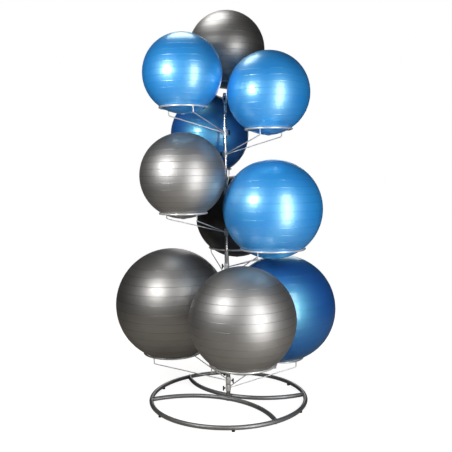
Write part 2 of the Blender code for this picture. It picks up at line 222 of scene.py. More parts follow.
# Lamps: a round one on the left, a tall strip on the right, one above and a soft one behind
LEFT_LAMP_PLACE = (-1.33, -1.66, 1.98)
LEFT_LAMP_TARGET = (0.0, 0.0, 1.2)
LEFT_LAMP_SIZE = 0.66
LEFT_LAMP_POWER = 29.0
RIGHT_LAMP_PLACE = (1.22, -2.10, 1.27)
RIGHT_LAMP_SIZE = (0.75, 2.50)
RIGHT_LAMP_POWER = 42.0
TOP_LAMP_PLACE = (-0.28, 0.24, 2.84)
TOP_LAMP_SIZE = 0.62
TOP_LAMP_POWER = 4.2
BACK_LAMP_PLACE = (0.35, 3.10, 1.90)
BACK_LAMP_TARGET = (0.0, 0.0, 1.0)
BACK_LAMP_SIZE = 2.00
BACK_LAMP_POWER = 21.0
STUDIO_LEVEL = 0.02

# Backdrop in reflections: how squarely a direction has to point behind the rack to see it
BACKDROP_START = 0.980
BACKDROP_FULL = 0.995

# Floor: radii of its rings, and where its glow starts and is full
FLOOR_RADII = (0.5, 1.0, 2.0, 4.0, 8.0, 16.0, 30.0)
FLOOR_GLOW = 0.92
FLOOR_GLOW_START = 0.7
FLOOR_GLOW_FULL = 1.7

# Stretches of patterns along the axes of a piece
EVEN = (1.0, 1.0, 1.0)
DRAWN = (900.0, 900.0, 9.0)
FLATTENED = (1.0, 1.0, 1.4)
LEVEL_STREAKS = (3.0, 3.0, 170.0)

# Sockets of a Mix node that hold colours: the two that go in and the one that comes out
MIX_COLOURS = (6, 7)
MIX_RESULT = 2

# Colours of the powder coat, the zinc and the floor
POWDER_DARK = (0.26, 0.26, 0.265)
POWDER_GLITTER = (0.40, 0.40, 0.405)
POWDER_RUBBED = (0.42, 0.415, 0.41)
ZINC_BRIGHT = (0.86, 0.855, 0.85)
ZINC_DULL = (0.68, 0.675, 0.67)
FLOOR_DARK = (0.37, 0.335, 0.29)
FLOOR_LIGHT = (0.40, 0.365, 0.32)

# Blue balls drawn in a darker copy of the blue: painted shade for the two balls that sit further back
# and get less light
SHADED_BLUE_PLACES = ("upper_back", "lower_right")

Station = namedtuple("Station", "place bearing reach collar pole hoop centre radius slot")


def read_station(place):
    """Arm and ball of one place, from the boxes of its solids."""
    low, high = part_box(f"ball_{place}")
    centre = (low + high) / 2
    radius = (high.x - low.x) / 2
    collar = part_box(f"holder_{place}")[0].z + COLLAR_HEIGHT / 2
    pole = UPPER_POLE_RADIUS if collar > LOWER_POLE_HIGH.z else LOWER_POLE_RADIUS
    drop = centre.z - collar - HOOP_RISE
    hoop = math.sqrt((radius + HOOP_ROD_RADIUS + SEAT_GAP) ** 2 - drop ** 2)
    slot = frame["nodes"][f"ball_{place}"].data.materials[0].name
    bearing = math.atan2(centre.y, centre.x)
    reach = math.hypot(centre.x, centre.y)
    return Station(place, bearing, reach, collar, pole, hoop, centre, radius, slot)


# Shapes: each is a pair of a list of points and a list of faces


def skin(rings, loop=False):
    """Faces between neighbouring rings of points; a ring of one point closes to a tip."""
    points = [point for ring in rings for point in ring]
    starts = [0]
    for ring in rings:
        starts.append(starts[-1] + len(ring))
    pairs = [(i, i + 1) for i in range(len(rings) - 1)]
    if loop:
        pairs.append((len(rings) - 1, 0))
    faces = []
    for a, b in pairs:
        count = max(len(rings[a]), len(rings[b]))
        for i in range(count):
            j = (i + 1) % count
            corners = (
                starts[a] + i % len(rings[a]),
                starts[a] + j % len(rings[a]),
                starts[b] + j % len(rings[b]),
                starts[b] + i % len(rings[b]),
            )
            faces.append(list(dict.fromkeys(corners)))
    return points, [face for face in faces if len(face) > 2]


def circle(centre, across, along, radius, steps):
    """Points round a circle that is spanned by two unit vectors."""
    ring = []
    for i in range(steps):
        angle = 2 * math.pi * i / steps
        ring.append(centre + (across * math.cos(angle) + along * math.sin(angle)) * radius)
    return ring


def level_circle(radius, steps, height=0.0):
    return circle(Vector((0.0, 0.0, height)), Vector((1, 0, 0)), Vector((0, 1, 0)), radius, steps)


def turned(outline, steps, loop=False):
    """Turn (radius, height) points about the Z axis; a radius of nought closes to a tip."""
    rings = []
    for radius, height in outline:
        if radius < TIP_RADIUS:
            rings.append([Vector((0.0, 0.0, height))])
        else:
            rings.append(level_circle(radius, steps, height))
    return skin(rings, loop)


def swept(path, radius, sides, aside, loop=False):
    """Round rod along a path. aside is a direction that the path never runs along.

    radius is one number or one for each point of the path.
    """
    radii = radius if isinstance(radius, list) else [radius] * len(path)
    last = len(path) - 1
    rings = []
    for i, point in enumerate(path):
        before = path[i - 1] if loop or i > 0 else point
        after = path[(i + 1) % len(path)] if loop or i < last else point
        heading = (after - before).normalized()
        across = heading.cross(aside).normalized()
        rings.append(circle(point, across, across.cross(heading), radii[i], sides))
    if not loop:
        rings = [[path[0]], *rings, [path[-1]]]
    return skin(rings, loop)


def moved(shape, matrix):
    points, faces = shape
    return [matrix @ Vector(point) for point in points], faces


def joined(shapes):
    points = []
    faces = []
    for more_points, more_faces in shapes:
        start = len(points)
        points.extend(more_points)
        faces.extend([[start + corner for corner in face] for face in more_faces])
    return points, faces


def piece(name, shape, body, material, replaced=(), matrix=None, sharp=40.0):
    """Object of a shape that rides on a body and stands for the solids that it replaces."""
    points, faces = shape
    mesh = bpy.data.meshes.new(name)
    mesh.from_pydata([tuple(point) for point in points], [], faces)
    form = bmesh.new()
    form.from_mesh(mesh)
    bmesh.ops.recalc_face_normals(form, faces=form.faces)
    form.to_mesh(mesh)
    form.free()
    mesh.materials.append(material)
    mesh.shade_smooth()
    mesh.set_sharp_from_angle(angle=math.radians(sharp))
    obj = bpy.data.objects.new(name, mesh)
    bpy.context.scene.collection.objects.link(obj)
    if matrix is not None:
        obj.matrix_world = matrix
    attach(obj, body)
    if replaced:
        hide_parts(*replaced)
    return obj


def rounded(outline, radius, steps=3):
    """Closed (radius, height) outline with its corners rounded off."""
    corners = [Vector(point) for point in outline]
    result = []
    for i, corner in enumerate(corners):
        before = corners[i - 1] - corner
        after = corners[(i + 1) % len(corners)] - corner
        reach = min(radius, before.length * CORNER_SHARE, after.length * CORNER_SHARE)
        start = corner + before.normalized() * reach
        end = corner + after.normalized() * reach
        for k in range(steps + 1):
            share = k / steps
            bent = start.lerp(corner, share).lerp(corner.lerp(end, share), share)
            result.append((max(bent.x, 0.0), bent.y))
    return result


# Materials


class Graph:
    """Node graph of one material, with short calls that add and join its nodes."""

    def __init__(self, name):
        self.material = bpy.data.materials.new(name)
        self.material.use_nodes = True
        self.tree = self.material.node_tree
        self.shader = self.tree.nodes["Principled BSDF"]

    def add(self, kind, **settings):
        node = self.tree.nodes.new(kind)
        for key, value in settings.items():
            setattr(node, key, value)
        return node

    def link(self, source, node, socket):
        self.tree.links.new(source, node.inputs[socket])

    def constant(self, **values):
        """Set sockets of the shader, named with underscores for spaces."""
        for key, value in values.items():
            self.shader.inputs[key.replace("_", " ")].default_value = value

    def place(self, stretch=EVEN):
        """Coordinates of the piece itself, stretched along its axes."""
        source = self.add("ShaderNodeTexCoord").outputs["Object"]
        mapping = self.add("ShaderNodeMapping")
        mapping.inputs["Scale"].default_value = stretch
        self.link(source, mapping, "Vector")
        return mapping.outputs["Vector"]

    def noise(self, stretch, scale, detail=2.0, roughness=0.5):
        node = self.add("ShaderNodeTexNoise")
        node.inputs["Scale"].default_value = scale
        node.inputs["Detail"].default_value = detail
        node.inputs["Roughness"].default_value = roughness
        self.link(self.place(stretch), node, "Vector")
        return node.outputs["Fac"]

    def spots(self, scale):
        node = self.add("ShaderNodeTexVoronoi")
        node.inputs["Scale"].default_value = scale
        self.link(self.place(), node, "Vector")
        return node.outputs["Distance"]

    def spread(self, source, low, high, start=0.3, end=0.7):
        """Bring a pattern's values between start and end to between low and high."""
        node = self.add("ShaderNodeMapRange")
        node.inputs["From Min"].default_value = start
        node.inputs["From Max"].default_value = end
        node.inputs["To Min"].default_value = low
        node.inputs["To Max"].default_value = high
        self.link(source, node, "Value")
        return node.outputs["Result"]

    def work_out(self, operation, *values):
        """Result of a Math node on numbers and outputs of nodes."""
        node = self.add("ShaderNodeMath", operation=operation)
        for index, value in enumerate(values):
            if isinstance(value, float):
                node.inputs[index].default_value = value
            else:
                self.link(value, node, index)
        return node.outputs["Value"]

    def sum(self, first, second):
        return self.work_out("ADD", first, second)

    def blend(self, share, first, second):
        """Colour between two others, which are colours or outputs of nodes."""
        node = self.add("ShaderNodeMix", data_type="RGBA")
        self.link(share, node, "Factor")
        for index, colour in zip(MIX_COLOURS, (first, second)):
            if isinstance(colour, tuple):
                node.inputs[index].default_value = (*colour, 1.0)
            else:
                self.tree.links.new(colour, node.inputs[index])
        return node.outputs[MIX_RESULT]

    def bump(self, height, strength, distance, under=None):
        node = self.add("ShaderNodeBump")
        node.inputs["Strength"].default_value = strength
        node.inputs["Distance"].default_value = distance
        self.link(height, node, "Height")
        if under is not None:
            self.link(under, node, "Normal")
        return node.outputs["Normal"]

    def finish(self, colour, roughness=None, normal=None):
        for socket, source in (("Base Color", colour), ("Roughness", roughness), ("Normal", normal)):
            if source is not None:
                self.link(source, self.shader, socket)
        return self.material


def painted_rib_shade(graph):
    """Share of a thin line of painted shade along every rib, at the same angles whatever the size of
    the ball.
    """
    outward = graph.add("ShaderNodeVectorMath", operation="NORMALIZE")
    graph.link(graph.place(), outward, 0)
    parts = graph.add("ShaderNodeSeparateXYZ")
    graph.link(outward.outputs["Vector"], parts, "Vector")
    angle = graph.work_out("ARCSINE", parts.outputs["Z"])
    beside = graph.work_out("PINGPONG", angle, math.radians(RIB_ANGLE / 2))
    line_edge = math.radians(RIB_LINE_ANGLE)
    line = graph.spread(beside, low=RIB_LINE_SHARE, high=0.0, start=0.0, end=line_edge)
    belt_edge = math.radians(RIB_ANGLE * RIB_COUNT / 2)
    height = graph.work_out("ABSOLUTE", angle)
    fade = belt_edge * RIB_LINE_FADE
    belt = graph.spread(height, low=1.0, high=0.0, start=fade, end=belt_edge)
    return graph.work_out("MULTIPLY", line, belt)


def pearl_skin(name, deep, light, roughness, gloss):
    """Satin pearl vinyl with clouds of pigment, fine flakes, faint level streaks and painted shade
    along the ribs.

    gloss holds the values of the shader's own sockets that make its sheen.
    """
    graph = Graph(name)
    clouds = graph.noise(FLATTENED, scale=7.0, detail=3.0)
    flakes = graph.spots(scale=900.0)
    streaks = graph.noise(LEVEL_STREAKS, scale=1.0, detail=3.0, roughness=0.65)
    cloudy = graph.spread(clouds, low=-0.22, high=0.42)
    flaky = graph.spread(flakes, low=0.0, high=0.30, start=0.0, end=1.0)
    share = graph.sum(cloudy, flaky)
    share = graph.sum(share, graph.spread(streaks, low=0.0, high=0.15))
    colour = graph.blend(share, deep, light)
    # Painted shade: a darker copy of the skin's colour along each rib
    rib_shade_colour = tuple(RIB_LINE_SHADE * part for part in deep)
    colour = graph.blend(painted_rib_shade(graph), colour, rib_shade_colour)
    worn = graph.spread(streaks, low=roughness - 0.03, high=roughness + 0.02)
    worn = graph.sum(worn, graph.spread(flakes, low=0.0, high=0.03, start=0.0, end=1.0))
    waves = graph.bump(streaks, strength=0.05, distance=0.0009)
    graph.shader.distribution = "GGX"
    graph.constant(**gloss)
    graph.link(waves, graph.shader, "Coat Normal")
    grain = graph.bump(flakes, strength=0.08, distance=0.0002, under=waves)
    return graph.finish(colour, worn, grain)


def powder_coat():
    """Dark grey metallic powder coat with orange peel, dust and rubbed patches."""
    graph = Graph("powder_coat_looks")
    peel = graph.noise(EVEN, scale=700.0, detail=2.0)
    dust = graph.noise(EVEN, scale=24.0, detail=5.0, roughness=0.65)
    glitter = graph.spread(graph.spots(scale=2400.0), low=0.0, high=1.0, start=0.0, end=0.8)
    colour = graph.blend(glitter, POWDER_DARK, POWDER_GLITTER)
    rubbed = graph.spread(dust, low=0.0, high=0.35, start=0.45, end=0.75)
    colour = graph.blend(rubbed, colour, POWDER_RUBBED)
    roughness = graph.spread(dust, low=0.40, high=0.55)
    normal = graph.bump(peel, strength=0.30, distance=0.0004)
    graph.constant(Metallic=0.85)
    return graph.finish(colour, roughness, normal)


def bright_steel(name, light, dark, smoothest, roughest):
    """Plated or drawn steel with fine draw lines, faint clouds and small pits."""
    graph = Graph(name)
    lines = graph.noise(DRAWN, scale=1.0, detail=2.0)
    clouds = graph.noise(EVEN, scale=34.0, detail=4.0, roughness=0.6)
    pits = graph.noise(EVEN, scale=1500.0, detail=1.0)
    dull = graph.spread(clouds, low=0.0, high=0.7, start=0.42, end=0.72)
    pitted = graph.spread(pits, low=0.0, high=0.25, start=0.55, end=0.8)
    colour = graph.blend(graph.sum(dull, pitted), light, dark)
    roughness = graph.spread(lines, low=smoothest, high=roughest)
    roughness = graph.sum(roughness, graph.spread(clouds, low=0.0, high=0.08))
    normal = graph.bump(lines, strength=0.12, distance=0.0002)
    normal = graph.bump(pits, strength=0.12, distance=0.0002, under=normal)
    graph.constant(Metallic=1.0)
    return graph.finish(colour, roughness, normal)


def zinc_wire():
    """Bright zinc plating on wire: satin, a little chalky, with fine speckle."""
    graph = Graph("zinc_looks")
    clouds = graph.noise(EVEN, scale=60.0, detail=4.0, roughness=0.6)
    speckle = graph.noise(EVEN, scale=1800.0, detail=1.0)
    dull = graph.spread(clouds, low=0.0, high=0.6, start=0.42, end=0.72)
    speckled = graph.spread(speckle, low=0.0, high=0.3, start=0.5, end=0.8)
    colour = graph.blend(graph.sum(dull, speckled), ZINC_BRIGHT, ZINC_DULL)
    roughness = graph.spread(clouds, low=0.30, high=0.42)
    normal = graph.bump(speckle, strength=0.15, distance=0.0002)
    graph.constant(Metallic=0.55, Specular_IOR_Level=0.5)
    return graph.finish(colour, roughness, normal)


def moulded_plastic(name, dark, light, smoothest, roughest, grain):
    """Moulded plastic or rubber with a fine grain, scuffs and a little dust."""
    graph = Graph(name)
    fine = graph.noise(EVEN, scale=grain, detail=3.0)
    scuffs = graph.noise(EVEN, scale=grain / 12, detail=5.0, roughness=0.7)
    dusty = graph.spread(scuffs, low=0.0, high=1.0, start=0.45, end=0.75)
    colour = graph.blend(dusty, dark, light)
    roughness = graph.spread(scuffs, low=smoothest, high=roughest)
    normal = graph.bump(fine, strength=0.35, distance=0.0002)
    return graph.finish(colour, roughness, normal)


BLACK_GLOSS = {
    "Metallic": 0.5, "Coat_Weight": 0.3, "Coat_Roughness": 0.25, "Coat_IOR": 1.5,
}
PEARL_GLOSS = {
    "Metallic": 1.0, "Specular_Tint": (0.45, 0.45, 0.45, 1.0),
    "Coat_Weight": 0.1, "Coat_Roughness": 0.22, "Coat_IOR": 1.5,
}
BLUE_GLOSS = {
    "IOR": 2.40, "Specular_IOR_Level": 1.0, "Specular_Tint": (0.42, 0.96, 1.0, 1.0),
    "Coat_Weight": 1.0, "Coat_Roughness": 0.27, "Coat_IOR": 1.9,
}
# Gloss of the darker copy of the blue, which paints shade onto the two back balls
SHADED_BLUE_GLOSS = {
    "IOR": 2.62, "Specular_IOR_Level": 1.0, "Specular_Tint": (0.26, 0.90, 1.0, 1.0),
    "Coat_Weight": 0.70, "Coat_Roughness": 0.18, "Coat_IOR": 1.6,
}

MATERIALS = {
    "powder_coat": powder_coat(),
    "steel": bright_steel(
        "steel_looks", light=(0.46, 0.455, 0.46), dark=(0.30, 0.295, 0.30),
        smoothest=0.26, roughest=0.40,
    ),
    "chrome": bright_steel(
        "chrome_looks", light=(0.86, 0.86, 0.87), dark=(0.66, 0.66, 0.67),
        smoothest=0.14, roughest=0.26,
    ),
    "zinc": zinc_wire(),
    "foot_rubber": moulded_plastic(
        "foot_rubber_looks", dark=(0.018, 0.018, 0.018), light=(0.05, 0.049, 0.047),
        smoothest=0.6, roughest=0.85, grain=900.0,
    ),
    "knob_plastic": moulded_plastic(
        "knob_looks", dark=(0.012, 0.012, 0.013), light=(0.035, 0.035, 0.036),
        smoothest=0.3, roughest=0.5, grain=1400.0,
    ),
    "cap_plastic": moulded_plastic(
        "cap_looks", dark=(0.015, 0.015, 0.015), light=(0.045, 0.044, 0.043),
        smoothest=0.4, roughest=0.6, grain=1200.0,
    ),
    "valve_plastic": moulded_plastic(
        "valve_looks", dark=(0.70, 0.69, 0.64), light=(0.80, 0.79, 0.76),
        smoothest=0.35, roughest=0.55, grain=1400.0,
    ),
    "ball_blue": pearl_skin(
        "ball_blue_looks", deep=(0.0, 0.31, 1.0), light=(0.01, 0.38, 1.0),
        roughness=0.47, gloss=BLUE_GLOSS,
    ),
    # Darker copy of the blue: painted shade on the two balls further back
    "shaded_blue": pearl_skin(
        "shaded_blue_looks", deep=(0.0, 0.080, 0.53), light=(0.01, 0.108, 0.62),
        roughness=0.49, gloss=SHADED_BLUE_GLOSS,
    ),
    "ball_grey": pearl_skin(
        "ball_grey_looks", deep=(0.525, 0.517, 0.507), light=(0.61, 0.60, 0.588),
        roughness=0.51, gloss=PEARL_GLOSS,
    ),
    "ball_charcoal": pearl_skin(
        "ball_charcoal_looks", deep=(0.50, 0.489, 0.474), light=(0.58, 0.566, 0.55),
        roughness=0.48, gloss=PEARL_GLOSS,
    ),
    "ball_black": pearl_skin(
        "ball_black_looks", deep=(0.052, 0.050, 0.048), light=(0.078, 0.076, 0.074),
        roughness=0.50, gloss=BLACK_GLOSS,
    ),
}


# Base


def base_ring():
    path = level_circle(RING_RADIUS, RING_STEPS, TUBE_HEIGHT)
    shape = swept(path, TUBE_RADIUS, TUBE_SIDES, Vector((0, 0, 1)), loop=True)
    piece("ring_tube", shape, "stand", MATERIALS["powder_coat"], ["base_ring"])


def arc_path():
    """Centre line of a base arc along its own X axis, from ring to ring past the hub."""
    apex = HUB_RADIUS + TUBE_RADIUS - ARC_BITE
    end_x = RING_RADIUS * math.cos(math.radians(ARC_SPREAD / 2))
    end_y = RING_RADIUS * math.sin(math.radians(ARC_SPREAD / 2))
    centre = (RING_RADIUS ** 2 - apex ** 2) / (2 * (end_x - apex))
    radius = centre - apex
    sweep = math.atan2(end_y, centre - end_x) - TUBE_RADIUS * ARC_END_SHARE / radius
    path = []
    for i in range(ARC_STEPS + 1):
        angle = sweep * (2 * i / ARC_STEPS - 1)
        path.append(Vector((centre - radius * math.cos(angle), radius * math.sin(angle), 0.0)))
    return path


def ring_depth(point):
    """How far a point beside the ring, at the height of Z = 0, is from the ring's centre line."""
    return math.hypot(math.hypot(point.x, point.y) - RING_RADIUS, point.z)


def end_weld(path):
    """Bead round an arc's end, on the line where its tube meets the ring."""
    heading = (path[0] - path[1]).normalized()
    up = Vector((0, 0, 1))
    across = heading.cross(up).normalized()
    line = []
    for start in circle(path[0], across, up, TUBE_RADIUS, BEAD_STEPS):
        near = -BEAD_SEARCH * TUBE_RADIUS
        far = TUBE_RADIUS
        for _ in range(BEAD_HALVINGS):
            middle = (near + far) / 2
            if ring_depth(start + heading * middle) > TUBE_RADIUS:
                near = middle
            else:
                far = middle
        line.append(start + heading * near)
    return swept(line, BEAD_RADIUS, BEAD_SIDES, heading, loop=True)


def hub_weld():
    """Bead down the side of the hub where an arc leans on it."""
    height = TUBE_RADIUS * HUB_BEAD_HEIGHT
    radius = HUB_RADIUS + HUB_BEAD_LIFT
    line = []
    for i in range(HUB_BEAD_STEPS + 1):
        share = 2 * i / HUB_BEAD_STEPS - 1
        angle = HUB_BEAD_ANGLE * math.sqrt(max(1.0 - share ** 2, 0.0))
        line.append(Vector((radius * math.cos(angle), radius * math.sin(angle), height * share)))
    for i in range(HUB_BEAD_STEPS - 1, 0, -1):
        line.append(Vector((line[i].x, -line[i].y, line[i].z)))
    return swept(line, HUB_BEAD_RADIUS, BEAD_SIDES, Vector((1, 0, 0)), loop=True)


def base_arc(name, node, bearing):
    """Curved base tube, and its weld beads as a piece beside it."""
    path = arc_path()
    turn = Matrix.Rotation(math.radians(bearing), 4, "Z")
    place = Matrix.Translation((0.0, 0.0, TUBE_HEIGHT)) @ turn
    shape = swept(path, TUBE_RADIUS, TUBE_SIDES, Vector((0, 0, 1)))
    welds = joined([end_weld(path), end_weld(path[::-1]), hub_weld()])
    piece(name, shape, "stand", MATERIALS["powder_coat"], [node], place)
    piece(f"{name}_welds", welds, "stand", MATERIALS["powder_coat"], (), place)


def ring_foot(node):
    """Round pad whose top follows the underside of the ring."""
    low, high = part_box(node)
    centre = (low + high) / 2
    radius = (high.x - low.x) / 2
    rings = [[Vector((0.0, 0.0, 0.0))]]
    for share, height in PAD_UNDERSIDE:
        rings.append(level_circle(radius * share, SMALL_SIDES, height))
    for share in PAD_TOP:
        top = level_circle(radius * share, SMALL_SIDES)
        highest = high.z - EDGE_RADIUS if share == 1.0 else high.z
        for point in top:
            offset = math.hypot(centre.x + point.x, centre.y + point.y) - RING_RADIUS
            saddle = TUBE_HEIGHT - math.sqrt(max(TUBE_RADIUS ** 2 - offset ** 2, 0.0)) - SEAT_GAP
            point.z = min(highest, saddle)
        rings.append(top)
    rings.append([Vector((0.0, 0.0, TUBE_HEIGHT - TUBE_RADIUS - SEAT_GAP))])
    matrix = Matrix.Translation((centre.x, centre.y, 0.0))
    piece(f"{node}_pad", skin(rings), "stand", MATERIALS["foot_rubber"], [node], matrix)


def centre_foot():
    """Pad under the hub, with a pocket for the head of the bolt."""
    low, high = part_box("centre_foot")
    head_low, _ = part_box("hub_bolt")
    pocket = head_low.z - SEAT_GAP
    outline = [
        (FOOT_POCKET_RADIUS, pocket),
        (FOOT_POCKET_RADIUS, high.z),
        (high.x, high.z),
        (high.x, 0.0),
    ]
    shape = turned([(0.0, pocket), *rounded(outline, EDGE_RADIUS), (0.0, 0.0)], SMALL_SIDES)
    piece("centre_pad", shape, "stand", MATERIALS["foot_rubber"], ["centre_foot"])


def hub_socket():
    """Cup that the pole stands in, with rounded rims."""
    floor_top = LOWER_POLE_LOW.z - SEAT_GAP
    bore = LOWER_POLE_RADIUS + SEAT_GAP
    outline = [
        (HUB_RADIUS, HUB_HIGH.z),
        (HUB_RADIUS, HUB_LOW.z),
        (BOLT_HOLE_RADIUS, HUB_LOW.z),
        (BOLT_HOLE_RADIUS, floor_top),
        (bore, floor_top),
        (bore, HUB_HIGH.z),
    ]
    shape = turned(rounded(outline, EDGE_RADIUS), POLE_SIDES, loop=True)
    piece("hub_cup", shape, "stand", MATERIALS["powder_coat"], ["hub_socket"])


# Poles


def tube(name, node, radius, bore, slot):
    """Open tube with rounded ends, its length cut in steps so that it shades evenly."""
    low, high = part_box(node)
    outer = [(radius, high.z + (low.z - high.z) * i / POLE_CUTS) for i in range(POLE_CUTS + 1)]
    corners = rounded([outer[0], outer[-1], (bore, low.z), (bore, high.z)], EDGE_RADIUS)
    quarter = len(corners) // 4
    outline = corners[:quarter] + outer[1:-1] + corners[quarter:]
    piece(name, turned(outline, POLE_SIDES, loop=True), "stand", MATERIALS[slot], [node])


def lower_pole():
    tube("pole_lower_tube", "lower_pole", LOWER_POLE_RADIUS, UPPER_POLE_RADIUS + SEAT_GAP, "steel")


def upper_pole():
    tube("pole_upper_tube", "upper_pole", UPPER_POLE_RADIUS, UPPER_POLE_BORE, "chrome")


def pole_cap():
    """Domed cap with a small rim and a stem in the pole's bore."""
    rim = UPPER_POLE_HIGH.z + SEAT_GAP
    stem = UPPER_POLE_BORE - SEAT_GAP
    dome_height = CAP_HIGH.z - rim - CAP_RIM_HEIGHT
    outline = [(0.0, CAP_HIGH.z)]
    for i in range(1, CAP_STEPS + 1):
        angle = math.pi / 2 * i / CAP_STEPS
        drop = dome_height * (1.0 - math.cos(angle))
        outline.append((UPPER_POLE_RADIUS * math.sin(angle), CAP_HIGH.z - drop))
    outline += [
        (UPPER_POLE_RADIUS, rim + SEAT_GAP),
        (UPPER_POLE_RADIUS - SEAT_GAP, rim),
        (stem, rim),
        (stem, CAP_LOW.z + CAP_STEM_BEVEL),
        (UPPER_POLE_BORE - CAP_RIM_HEIGHT, CAP_LOW.z),
        (0.0, CAP_LOW.z),
    ]
    shape = turned(outline, POLE_SIDES)
    piece("cap_dome", shape, "stand", MATERIALS["cap_plastic"], ["pole_cap"])


# Holders


def collar_shape(station):
    """Sleeve round the pole, with rounded rims."""
    inner = station.pole + SEAT_GAP
    outer = inner + COLLAR_WALL
    half = COLLAR_HEIGHT / 2
    outline = [(outer, half), (outer, -half), (inner, -half), (inner, half)]
    return turned(rounded(outline, EDGE_RADIUS), POLE_SIDES, loop=True)


def nut_shape(station):
    """Hexagonal weld nut on the back of the collar, with a chamfer and a bore."""
    start = station.pole + SEAT_GAP + COLLAR_WALL - NUT_BITE
    end = start + NUT_BITE + NUT_LENGTH
    bore = SCREW_RADIUS + SEAT_GAP
    half_flat = math.pi / 6
    rings = []
    for radius, distance, hexagonal in (
        (bore, start, False),
        (NUT_RADIUS, start, True),
        (NUT_RADIUS, end - NUT_CHAMFER_DEPTH, True),
        (NUT_RADIUS - NUT_CHAMFER_WIDTH, end, True),
        (bore + NUT_COUNTERSINK, end, False),
        (bore, end - NUT_COUNTERSINK, False),
    ):
        ring = []
        for i in range(SMALL_SIDES):
            angle = 2 * math.pi * i / SMALL_SIDES
            wedge = (angle + half_flat) % (2 * half_flat) - half_flat
            reach = radius * math.cos(half_flat) / math.cos(wedge) if hexagonal else radius
            ring.append(Vector((-distance, reach * math.sin(angle), reach * math.cos(angle))))
        rings.append(ring)
    return skin(rings, loop=True)


def wire_path(station, side):
    """Line of an arm wire from inside the hoop down its leg, round the bend and in to the collar."""
    bearing = side * math.radians(LEG_BEARING)
    spread = side * math.radians(WIRE_SPREAD)
    root = station.pole + COLLAR_WALL / 2
    leg_x = station.reach + station.hoop * math.cos(bearing)
    leg_y = station.hoop * math.sin(bearing)
    top = Vector((leg_x, leg_y, HOOP_RISE))
    corner = Vector((leg_x, leg_y, HOOP_RISE - LEG_LENGTH))
    end = Vector((root * math.cos(spread), root * math.sin(spread), 0.0))
    back = (top - corner).normalized()
    onward = (end - corner).normalized()
    half_angle = back.angle(onward) / 2
    setback = LEG_BEND_RADIUS / math.tan(half_angle)
    centre = corner + (back + onward).normalized() * LEG_BEND_RADIUS / math.sin(half_angle)
    first = (corner + back * setback - centre).normalized()
    last = (corner + onward * setback - centre).normalized()
    bend = [
        centre + first.slerp(last, i / BEND_STEPS) * LEG_BEND_RADIUS
        for i in range(BEND_STEPS + 1)
    ]
    run = [bend[-1].lerp(end, i / WIRE_CUTS) for i in range(1, WIRE_CUTS)]
    down = (bend[0] - top).normalized()
    outward = (bend[-1] - end).normalized()
    at_hoop = [top, top + down * HOOP_ROD_RADIUS, top + down * (HOOP_ROD_RADIUS + WELD_LENGTH)]
    at_collar = [end + outward * (COLLAR_WALL + WELD_LENGTH), end + outward * COLLAR_WALL, end]
    return [*at_hoop, *bend, *run, *at_collar]


def wire_shape(station, side):
    """Arm wire whose two ends flare into their welds."""
    path = wire_path(station, side)
    radii = [WIRE_RADIUS] * len(path)
    for i in (0, 1, -2):
        radii[i] = WIRE_RADIUS * WELD_FLARE
    radii[-1] = WIRE_RADIUS * WELD_TIP
    aside = (path[0] - path[3]).cross(path[-1] - path[3])
    return swept(path, radii, WIRE_SIDES, aside)


def holder(station):
    """Collar with its nut, two wires and the hoop, as one welded piece."""
    line = level_circle(station.hoop, HOOP_STEPS)
    hoop = swept(line, HOOP_ROD_RADIUS, ROD_SIDES, Vector((0, 0, 1)), loop=True)
    shape = joined([
        collar_shape(station),
        nut_shape(station),
        moved(hoop, Matrix.Translation((station.reach, 0.0, HOOP_RISE))),
        wire_shape(station, 1),
        wire_shape(station, -1),
    ])
    turn = Matrix.Rotation(station.bearing, 4, "Z")
    matrix = Matrix.Translation((0.0, 0.0, station.collar)) @ turn
    piece(f"arm_{station.place}", shape, f"{station.place}_arm", MATERIALS["zinc"],
          [f"holder_{station.place}"], matrix)


# Thumb screws


def screw_shape(tip, end):
    """Threaded shank along X from its tip to a point inside the knob."""
    outline = [(0.0, tip), (SCREW_RADIUS * SCREW_TIP_SHARE, tip)]
    distance = tip + THREAD_PITCH / 2
    while distance < end - THREAD_PITCH:
        outline.append((SCREW_RADIUS - THREAD_DEPTH, distance))
        outline.append((SCREW_RADIUS, distance + THREAD_PITCH / 2))
        distance += THREAD_PITCH
    outline += [(SCREW_RADIUS - THREAD_DEPTH, end), (0.0, end)]
    return moved(turned(outline, SMALL_SIDES // 2), Matrix.Rotation(math.pi / 2, 4, "Y"))


def grip_shape(start, end):
    """Fluted hub of the knob along X."""
    outline = [(share, start + depth) for share, depth in GRIP_NEAR_END]
    outline += [(share, end - depth) for share, depth in GRIP_FAR_END]
    rings = []
    for share, distance in outline:
        if share == 0.0:
            rings.append([Vector((distance, 0.0, 0.0))])
            continue
        ring = []
        for i in range(SMALL_SIDES * 2):
            angle = 2 * math.pi * i / (SMALL_SIDES * 2)
            flute = KNOB_FLUTE_DEPTH * (1.0 - math.cos(KNOB_FLUTES * angle)) / 2
            radius = share * (KNOB_HUB_RADIUS - flute)
            ring.append(Vector((distance, radius * math.cos(angle), radius * math.sin(angle))))
        rings.append(ring)
    return skin(rings)


def wing_shape(middle):
    """Upright two-lobed wing with a waist and rounded edges."""
    edge = [(-depth, share) for depth, share in reversed(WING_EDGE)]
    edge += WING_EDGE
    rings = [[Vector((middle, -WING_HALF_THICKNESS * WING_DISH, 0.0))]]
    for depth, share in edge:
        ring = []
        for i in range(SMALL_SIDES * 2):
            angle = 2 * math.pi * i / (SMALL_SIDES * 2)
            across = math.copysign(abs(math.cos(angle)) ** WING_SQUARENESS, math.cos(angle))
            waist = 1.0 - WING_WAIST * math.cos(angle) ** WING_WAIST_POWER
            ring.append(Vector((
                middle + WING_HALF_WIDTH * across * waist * share,
                WING_HALF_THICKNESS * depth,
                (WING_HALF_SPAN - WING_HALF_WIDTH * (1.0 - share)) * math.sin(angle),
            )))
        rings.append(ring)
    rings.append([Vector((middle, WING_HALF_THICKNESS * WING_DISH, 0.0))])
    return skin(rings)


